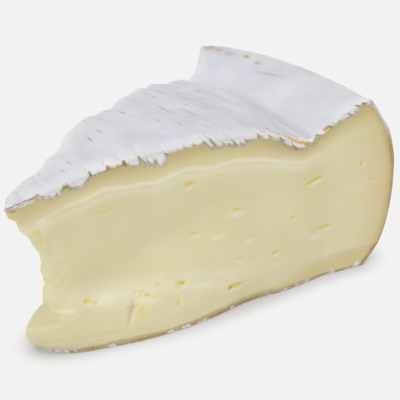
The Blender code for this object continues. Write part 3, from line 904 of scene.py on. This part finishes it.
class Paste:
    """The cheese between the rinds: its cuts show, and the rind covers the rest of it."""

    def __init__(self):
        (i, j, k), self.faces = boxed(PASTE_ROWS)
        n_along, n_across, n_up = PASTE_ROWS
        u = rows(n_along, 0.2)[i] * PASTE_REACH
        v = rows(n_across, 0.5)[j]
        edge = Sheet(u, v, np.ones(len(u)))
        self.hang, self.swell, _ = nicked_lip(edge)
        gap = PASTE_SUNK / edge.height
        self.sheet = Sheet(u, v, gap + (1 - 2 * gap) * rows(n_up, 0.25)[k])
        self.points = rounded(edge, self.sheet)
        self.on_side = (j == 0) | (j == n_across) | (i == 0)
        self.find_features()
        out = normals_of(self.points, self.faces)
        self.points = self.points + out * (self.relief() * self.on_side)[:, None]
        self.points[(k == n_up) & ~self.on_side, 2] -= PASTE_SUNK_DEEPER
        within = rise(*HEEL_SUNK_SIDES, self.sheet.inset) * rise(*HEEL_SUNK_TOP, self.sheet.depth)
        self.points[:, 0] -= PASTE_SUNK_DEEPER * (i == n_along) * within

    def find_features(self):
        """The eyes, the groove, the patches, the drags and the shoulder line at each point."""
        sheet, front = self.sheet, self.sheet.across < 0.5
        eyes = eye_field(sheet, EYES, front), eye_field(sheet, back_eyes(), ~front)
        self.eye_depth, self.eye, self.eye_rim, self.eye_core_shade = np.maximum(*eyes)
        at, height, width, tall = GROOVE
        off, up = turned(sheet, at, height, GROOVE_TILT)
        self.groove = bell(off, 0, width) * bell(up, 0, tall) * front
        self.hollow = patch_field(sheet, GROOVE_HOLLOW, front)
        self.patches = patch_field(sheet, PALE_PATCHES, front)
        self.dragged = bell(sheet.height, *DRAGS_AT) * fade(*DRAGS_END, sheet.distance)
        level = sheet.cove + noise("shoulder", self.points * FLAT)
        grown = 0.35 + 0.65 * rise(*SHOULDER_STARTS, sheet.distance)
        left = fade(*SHOULDER_FADES, sheet.distance, to=0.15)
        self.shoulder = bell(sheet.depth, level, SHOULDER_WIDTH) * grown * left

    def relief(self):
        """How far each point of the cuts is pushed out."""
        sheet, points = self.sheet, self.points
        at_nose = fade(*NOSE_TORN, sheet.from_nose) * rise(*NOSE_TORN_ABOVE, sheet.height)
        uneven = noise("drags", points) + self.dragged * noise("nose drags", points)
        uneven = uneven + noise("swells", points) + noise("grain", points)
        uneven = uneven + at_nose * noise("torn", points) + SHOULDER_RIDGE * self.shoulder
        out = uneven * rise(*UNDER_RIND, sheet.depth)
        out = out - self.eye_depth - GROOVE_DEPTH * self.groove - HOLLOW_DEPTH * self.hollow
        return out + BASE_BEAD * bell(sheet.height, *BASE_BEAD_AT)

    def ripeness(self, cloudy):
        """How ripe the paste is, near the top, the heel and the bottom."""
        sheet = self.sheet
        top = fade(*RIPE_TOP, sheet.depth / sheet.cove * (1 + 0.1 * cloudy))
        heel = fade(*RIPE_HEEL, sheet.to_heel * (1 + 0.3 * cloudy))
        near_tip, at_heel = RIPE_BOTTOM
        reach = near_tip + (at_heel - near_tip) * rise(*RIPE_BOTTOM_GROWS, sheet.distance)
        bottom = fade(0.5, 1.5, sheet.height / reach * (1 + 0.3 * cloudy))
        return np.maximum.reduce([top, 0.75 * heel, 0.85 * bottom])

    def lip_shadow_and_brown(self, crumbly):
        """The painted shadow under the lip's end, partly the brown of the cut rind, which widens under
        its nicks.
        """
        below_lip = self.sheet.depth - self.hang
        under_nicks = (1 - self.swell) * fade(0, NICK_SHADE, below_lip)
        return np.maximum(0.8 * (0.5 + crumbly) * fade(*LIP_SHADOW_AND_BROWN, below_lip), 0.4 * under_nicks)

    def masks(self):
        """Where each colour of the paste shows."""
        sheet, points = self.sheet, self.points
        crumbly, cloudy, streaks = (noise(name, points) for name in ("crumbly", "cloudy", "streaks"))
        band = curve(BASE_BAND, sheet.distance) * (1 + noise("band", points * FLAT))
        up_band = sheet.height / band
        bottom_line = fade(0.25, 0.75, up_band * (1 + 0.5 * crumbly))
        # Painted highlights, over a partly real paler tone: along the low ridge, under the cove's line,
        # on the shoulder and at the band's top edge.
        low_ridge = bell(sheet.height, *LOW_RIDGE_AT) * fade(*LOW_RIDGE_ENDS, sheet.distance)
        low_ridge = low_ridge * (0.05 + 0.95 * rise(*LOW_RIDGE_BEGINS, sheet.distance))
        under_line = bell(sheet.depth, sheet.cove + UNDER_LINE, UNDER_LINE_WIDTH)
        under_line = under_line * fade(*UNDER_LINE_ENDS, sheet.distance)
        pale_and_highlight = 0.6 * (low_ridge + under_line) + 0.75 * self.shoulder + 0.5 * bell(up_band, 1.12, 0.2)
        mottled = 0.2 * cloudy + (0.15 + 0.6 * self.dragged) * streaks
        return {
            "ripe": self.ripeness(cloudy),
            # Painted shade: the foot near the nose faces up into the light, so its colour is darkened.
            "foot": 0.42 * fade(*FOOT_ALONG, sheet.distance) * fade(*FOOT_UP, sheet.height),
            "edge": fade(*EDGE_REACH, np.minimum(sheet.to_heel, sheet.height + EDGE_AT_BASE)),
            "band": fade(0.7, 1.0, up_band),
            # The base's brown line, and the painted shadow under the lip's end.
            "line": np.maximum(0.7 * bottom_line, self.lip_shadow_and_brown(crumbly)),
            # The painted highlights, with the paste's own mottling and pale patches.
            "pale": pale_and_highlight + mottled + 0.5 * self.patches,
            # Painted highlights on the eyes' lower rims, and pale patches.
            "rim": self.eye_rim + 0.5 * self.patches,
            "eye": np.maximum(self.eye, 0.5 * self.hollow),
            # Painted shade in the centres of the deepest eyes.
            "core_shade": self.eye_core_shade * self.on_side,
        }


# ---- Fluff and crumbs

# Each kind: seed, how many hang on the lips, how many lie along the base, the share of these in
# the tufts, and the least and the greatest size.
FLUFF = (11, 110, 90, 0.5, 0.06, 0.16)
CRUMBS = (12, 150, 170, 0.0, 0.06, 0.16)
FRONT_SHARE = 0.65
GRAIN_SUNK = 0.3
GRAIN_CLUMPS = 1.2
GRAIN_CLUMP_SIZE = 3.5
GRAINS_ALONG = (1, 93)
GRAINS_UP_BASE = (0.1, 1.0)
GRAINS_ROUND_LIP = 0.22
GRAIN_STRETCH = (0.6, 1.4)
GRAIN_DENTS = 0.45


def on_cut(distance, height, v):
    """The places on the cuts at these distances and heights; v is 0 on the front and 1 on the back."""
    w = unit(height / top_height(distance, v))
    start = curve(NOSE_OUTLINE, w * TOP_STATIONS[0][2])
    end = heel_radius(w * TOP_STATIONS[-1][2]) + BEYOND_CENTRE * math.cos(WEDGE_ANGLE / 2)
    u = unit((distance - start) / (end - start))
    return Sheet(u, v, np.ones(len(u))), Sheet(u, v, w)


def unit_grain():
    """A small ball's points and faces, to be squashed and dented."""
    bm = bmesh.new()
    bmesh.ops.create_icosphere(bm, subdivisions=2, radius=1)
    points = np.array([v.co for v in bm.verts])
    faces = np.array([[v.index for v in f.verts] for f in bm.faces])
    bm.free()
    return points, faces


def grain_places(kind, draw):
    """The middles of a kind's grains, a little way out of the cuts, and their sizes."""
    seed, on_lip, on_base, in_tufts, least, greatest = kind
    count = on_lip + on_base
    v = (draw.random(count) > FRONT_SHARE).astype(float)
    distance = draw.uniform(*GRAINS_ALONG, count)
    clumps = lattice_noise(np.stack([distance, v, v * 0], axis=1), GRAIN_CLUMP_SIZE, seed)
    distance = distance + clumps * GRAIN_CLUMPS
    lipped = np.arange(count) < on_lip
    at, half, _ = np.array(TUFTS)[draw.integers(0, len(TUFTS), count)].T
    at_tuft = ~lipped & (draw.random(count) < in_tufts)
    distance = np.where(at_tuft, at + draw.normal(0, 0.8, count) * half, distance)
    top = top_height(distance, v)
    edge, _ = on_cut(distance, top, v)
    hang, _, _ = nicked_lip(edge)
    on_lips = top - hang + draw.normal(0, GRAINS_ROUND_LIP, count)
    on_bases = draw.uniform(*GRAINS_UP_BASE, count)
    edge, sheet = on_cut(distance, np.where(lipped, on_lips, on_bases), v)
    size = draw.uniform(least, greatest, count)
    half = WEDGE_ANGLE / 2
    outward = [np.full(count, -math.sin(half)), np.where(v < 0.5, -1, 1) * math.cos(half), 0 * v]
    stands = np.where(lipped, LIP_THICKNESS, 0) / 2 + (1 - GRAIN_SUNK) * size / 2
    return rounded(edge, sheet) + np.stack(outward, axis=1) * stands[:, None], size


def scattered(kind):
    """The points and faces of all the grains of a kind, joined, and a shade for each grain."""
    seed = kind[0]
    draw = np.random.default_rng(seed)
    middles, sizes = grain_places(kind, draw)
    ball, ball_faces = unit_grain()
    points, faces, shades = [], [], []
    for n, (middle, size) in enumerate(zip(middles, sizes)):
        stretch = size * draw.uniform(*GRAIN_STRETCH, 3)
        turn = np.array(Euler(draw.uniform(0, 6.28, 3)).to_matrix())
        dents = 1 + GRAIN_DENTS * fractal(ball + n * 7, 0.9, seed, 2)
        points.append((ball * dents[:, None] * stretch) @ turn + middle)
        faces.append(ball_faces + n * len(ball))
        shades.append(np.full(len(ball), draw.random()))
    return np.concatenate(points), np.concatenate(faces), {"shade": np.concatenate(shades)}


# ---- Materials

# The colours of the layers, from the lowest up: mask, strength, and red, green and blue to 255.
PASTE_BODY = (233, 223, 183)
PASTE_CLOUDS = (226, 217, 171)
# Painted light among the paste's layers: highlights in pale and rim, shade in foot and core, and shadow
# under the lip in line.
PASTE_LAYERS = (
    ("pale", 1, 241, 235, 206), ("ripe", 1, 221, 205, 148), ("foot", 1, 212, 205, 160),
    ("edge", 0.7, 208, 180, 116), ("band", 0.8, 204, 183, 126), ("line", 0.75, 170, 142, 88),
    ("rim", 0.7, 244, 240, 220), ("eye", 0.85, 244, 222, 84), ("core_shade", 0.8, 204, 152, 30),
)
RIND_BODY = (231, 231, 235)
RIND_CLOUDS = (220, 220, 227)
# The first layer whitens the lip and the top's rim, partly painted highlight; the second lays the felt's
# grey veins and clouds, and painted shade in the crease.
RIND_LAYERS = (("pale_and_highlight", 1, 242, 242, 243), ("grey_and_crease_shade", 0.6, 192, 191, 197))
MAT_STROKES = (182, 179, 179)
# Most of these are the rind's own stains; the tan and crack layers also carry painted shade, at the
# lip's end and on the walls of its nicks.
RIND_STAINS_AND_SHADE = (
    ("mark", 1, 150, 138, 122), ("tan", 0.85, 188, 170, 150), ("ochre", 1, 186, 158, 104),
    ("crack_and_nick_shade", 0.8, 158, 130, 98), ("orange", 0.85, 224, 172, 84), ("tear", 1, 238, 188, 26),
    ("green", 1, 186, 172, 52),
)
FLUFF_SHADES = ((214, 212, 212), (240, 239, 238))
CRUMB_SHADES = ((160, 130, 92), (206, 184, 146))


def linear(red, green, blue):
    """A colour given as 0-255 display values, in linear light."""
    parts = [c / 255 for c in (red, green, blue)]
    parts = [c / 12.92 if c <= 0.04045 else ((c + 0.055) / 1.055) ** 2.4 for c in parts]
    return (*parts, 1.0)


class Shader:
    """A Principled material whose colour is laid up in layers."""

    def __init__(self, name, **settings):
        self.material = bpy.data.materials.new(name)
        self.material.use_nodes = True
        self.tree = self.material.node_tree
        self.principled = self.tree.nodes["Principled BSDF"]
        self.put(self.principled, settings)

    def put(self, node, settings):
        for name, value in settings.items():
            node.inputs[name.replace("_", " ")].default_value = value

    def node(self, kind, **settings):
        node = self.tree.nodes.new("ShaderNode" + kind)
        self.put(node, settings)
        return node

    def link(self, out, into):
        self.tree.links.new(out, into)

    def mask(self, name):
        node = self.node("Attribute")
        node.attribute_name = name
        return node.outputs["Fac"]

    def noise(self, size, detail=3.0, stretch=(1, 1, 1)):
        place = self.node("TexCoord")
        scaled = self.node("Mapping", Scale=stretch)
        self.link(place.outputs["Object"], scaled.inputs["Vector"])
        noise = self.node("TexNoise", Scale=1 / size, Detail=detail)
        self.link(scaled.outputs["Vector"], noise.inputs["Vector"])
        return noise.outputs["Fac"]

    def ramp(self, value, low, high):
        """0 up to low, and 1 from high on."""
        node = self.node("MapRange", From_Min=low, From_Max=high)
        self.link(value, node.inputs["Value"])
        return node.outputs["Result"]

    def times(self, first, second):
        node = self.node("Math")
        node.operation = "MULTIPLY"
        for value, socket in zip((first, second), node.inputs):
            if isinstance(value, float):
                socket.default_value = value
            else:
                self.link(value, socket)
        return node.outputs["Value"]

    def over(self, below, colour, mask):
        """Lays a colour over another, by a mask."""
        node = self.node("Mix")
        node.data_type = "RGBA"
        if isinstance(below, tuple):
            node.inputs["A"].default_value = below
        else:
            self.link(below, node.inputs["A"])
        node.inputs["B"].default_value = colour
        self.link(mask, node.inputs["Factor"])
        return node.outputs["Result"]

    def painted(self, colour, layers):
        """Lays a table of colours over another, each by the mask of its name."""
        for name, strength, *rgb in layers:
            mask = self.mask(name)
            if strength < 1:
                mask = self.times(mask, strength)
            colour = self.over(colour, linear(*rgb), mask)
        return colour

    def bump(self, height, distance, strength=1.0, below=None):
        node = self.node("Bump", Strength=strength, Distance=distance)
        self.link(height, node.inputs["Height"])
        if below is not None:
            self.link(below, node.inputs["Normal"])
        return node.outputs["Normal"]

    def finish(self, colour, normal):
        self.link(colour, self.principled.inputs["Base Color"])
        self.link(normal, self.principled.inputs["Normal"])
        return self.material


def paste_material():
    shader = Shader(
        "brie_paste", Roughness=0.42, Specular_IOR_Level=0.35,
        Subsurface_Weight=0.25, Subsurface_Radius=(1.0, 0.7, 0.35), Subsurface_Scale=3 * MM,
    )
    cloudy = shader.ramp(shader.noise(14 * MM), 0.35, 0.7)
    colour = shader.over(linear(*PASTE_BODY), linear(*PASTE_CLOUDS), cloudy)
    fine = shader.bump(shader.noise(0.8 * MM, 4.0), 0.05 * MM, 0.5)
    return shader.finish(shader.painted(colour, PASTE_LAYERS), fine)


def rind_material():
    shader = Shader(
        "brie_rind", Roughness=0.9, Specular_IOR_Level=0.2, Sheen_Weight=0.15, Sheen_Roughness=0.6
    )
    cloudy = shader.ramp(shader.noise(9 * MM, 4.0), 0.35, 0.7)
    colour = shader.over(linear(*RIND_BODY), linear(*RIND_CLOUDS), cloudy)
    colour = shader.painted(colour, RIND_LAYERS)
    strokes = shader.ramp(shader.noise(0.8 * MM, 1.0, (1.0, 0.09, 0.5)), 0.61, 0.71)
    strokes = shader.times(shader.times(shader.mask("mat"), strokes), 0.85)
    colour = shader.over(colour, linear(*MAT_STROKES), strokes)
    felt = shader.bump(shader.noise(0.5 * MM, 5.0), 0.12 * MM, 0.6)
    lines = shader.bump(shader.noise(1.4 * MM, 3.0, (1.0, 0.12, 0.6)), 0.25 * MM, 0.5, felt)
    return shader.finish(shader.painted(colour, RIND_STAINS_AND_SHADE), lines)


def grain_material(name, dark, light):
    shader = Shader(name, Roughness=0.9, Specular_IOR_Level=0.2)
    colour = shader.over(linear(*dark), linear(*light), shader.mask("shade"))
    colour = shader.over(colour, linear(*light), shader.times(shader.noise(0.3 * MM), 0.4))
    return shader.finish(colour, shader.bump(shader.noise(0.15 * MM, 3.0), 0.05 * MM, 0.5))


# ---- The studio

CAMERA_TARGET = Vector((9.3, 1.8, 18.3)) * MM
CAMERA_AZIMUTH = math.radians(-44.2)
CAMERA_ELEVATION = math.radians(26.3)
CAMERA_DISTANCE = 288.8 * MM
CAMERA_LENS = 100.0
CAMERA_SENSOR = 36.0
CONTACT_REACH = 9.0 * MM
CONTACT_SIDE = (0.0, 0.8, 0.6)
CONTACT_RANGE = (0.3, 0.85)
CONTACT_SAMPLES = 16
CONTACT_SHADE = (188, 182, 172)
FLOOR_BRIGHTNESS = 0.888
FLOOR_HALF = 3.0
WORLD_STRENGTH = 0.55
# The key light's azimuth, elevation and spread in degrees, and its strength.
KEY_LIGHT = (-75, 58, 50, 1.15)


def direction(azimuth, elevation):
    """The unit vector towards azimuth, counted from -Y towards +X, and elevation."""
    flat = math.cos(elevation)
    return Vector((math.sin(azimuth) * flat, -math.cos(azimuth) * flat, math.sin(elevation)))


def aim(thing, target):
    thing.rotation_euler = (target - thing.location).to_track_quat("-Z", "Y").to_euler()


def make_camera():
    data = bpy.data.cameras.new("camera")
    data.lens = CAMERA_LENS
    data.sensor_width = CAMERA_SENSOR
    data.clip_start = 0.01
    camera = placed("camera", data)
    camera.location = CAMERA_TARGET + direction(CAMERA_AZIMUTH, CAMERA_ELEVATION) * CAMERA_DISTANCE
    aim(camera, CAMERA_TARGET)
    bpy.context.scene.camera = camera


def make_light(name, azimuth, elevation, spread, strength):
    """A wide, even light from afar; all angles are in degrees."""
    data = bpy.data.lights.new(name, "SUN")
    data.angle = math.radians(spread)
    data.energy = strength
    light = placed(name, data)
    light.location = CAMERA_TARGET + direction(math.radians(azimuth), math.radians(elevation))
    aim(light, CAMERA_TARGET)


def make_floor():
    """A pale floor that glows evenly, with a painted shadow only close to what stands on it."""
    mesh = bpy.data.meshes.new("floor")
    signs = ((-1, -1), (1, -1), (1, 1), (-1, 1))
    mesh.from_pydata([(x * FLOOR_HALF, y * FLOOR_HALF, 0) for x, y in signs], [], [(0, 1, 2, 3)])
    shader = Shader(
        "floor", Roughness=1.0, Base_Color=(0, 0, 0, 1), Specular_IOR_Level=0.0,
        Emission_Strength=FLOOR_BRIGHTNESS,
    )
    # The painted contact shadow, darker where more of the cheese is near.
    near = shader.node("AmbientOcclusion", Distance=CONTACT_REACH, Normal=CONTACT_SIDE)
    near.samples = CONTACT_SAMPLES
    contact = shader.ramp(near.outputs["AO"], *CONTACT_RANGE)
    floor_glow_and_shadow = shader.over(linear(*CONTACT_SHADE), linear(255, 255, 255), contact)
    shader.link(floor_glow_and_shadow, shader.principled.inputs["Emission Color"])
    mesh.materials.append(shader.material)
    floor = placed("floor", mesh)


def make_studio():
    scene = bpy.context.scene
    scene.view_settings.view_transform = "Standard"
    world = bpy.data.worlds.new("studio")
    world.use_nodes = True
    background = world.node_tree.nodes["Background"]
    background.inputs["Color"].default_value = (1.0, 1.0, 1.0, 1)
    background.inputs["Strength"].default_value = WORLD_STRENGTH
    scene.world = world
    make_light("key", *KEY_LIGHT)
    make_floor()
    make_camera()


make_studio()
paste, rind = Paste(), Rind()
make_piece("paste", paste.points, paste.faces, paste.masks(), paste_material())
make_piece("rind", rind.points, rind.faces, rind.masks(), rind_material())
make_piece("fluff", *scattered(FLUFF), grain_material("brie_fluff", *FLUFF_SHADES))
make_piece("crumbs", *scattered(CRUMBS), grain_material("brie_crumbs", *CRUMB_SHADES))
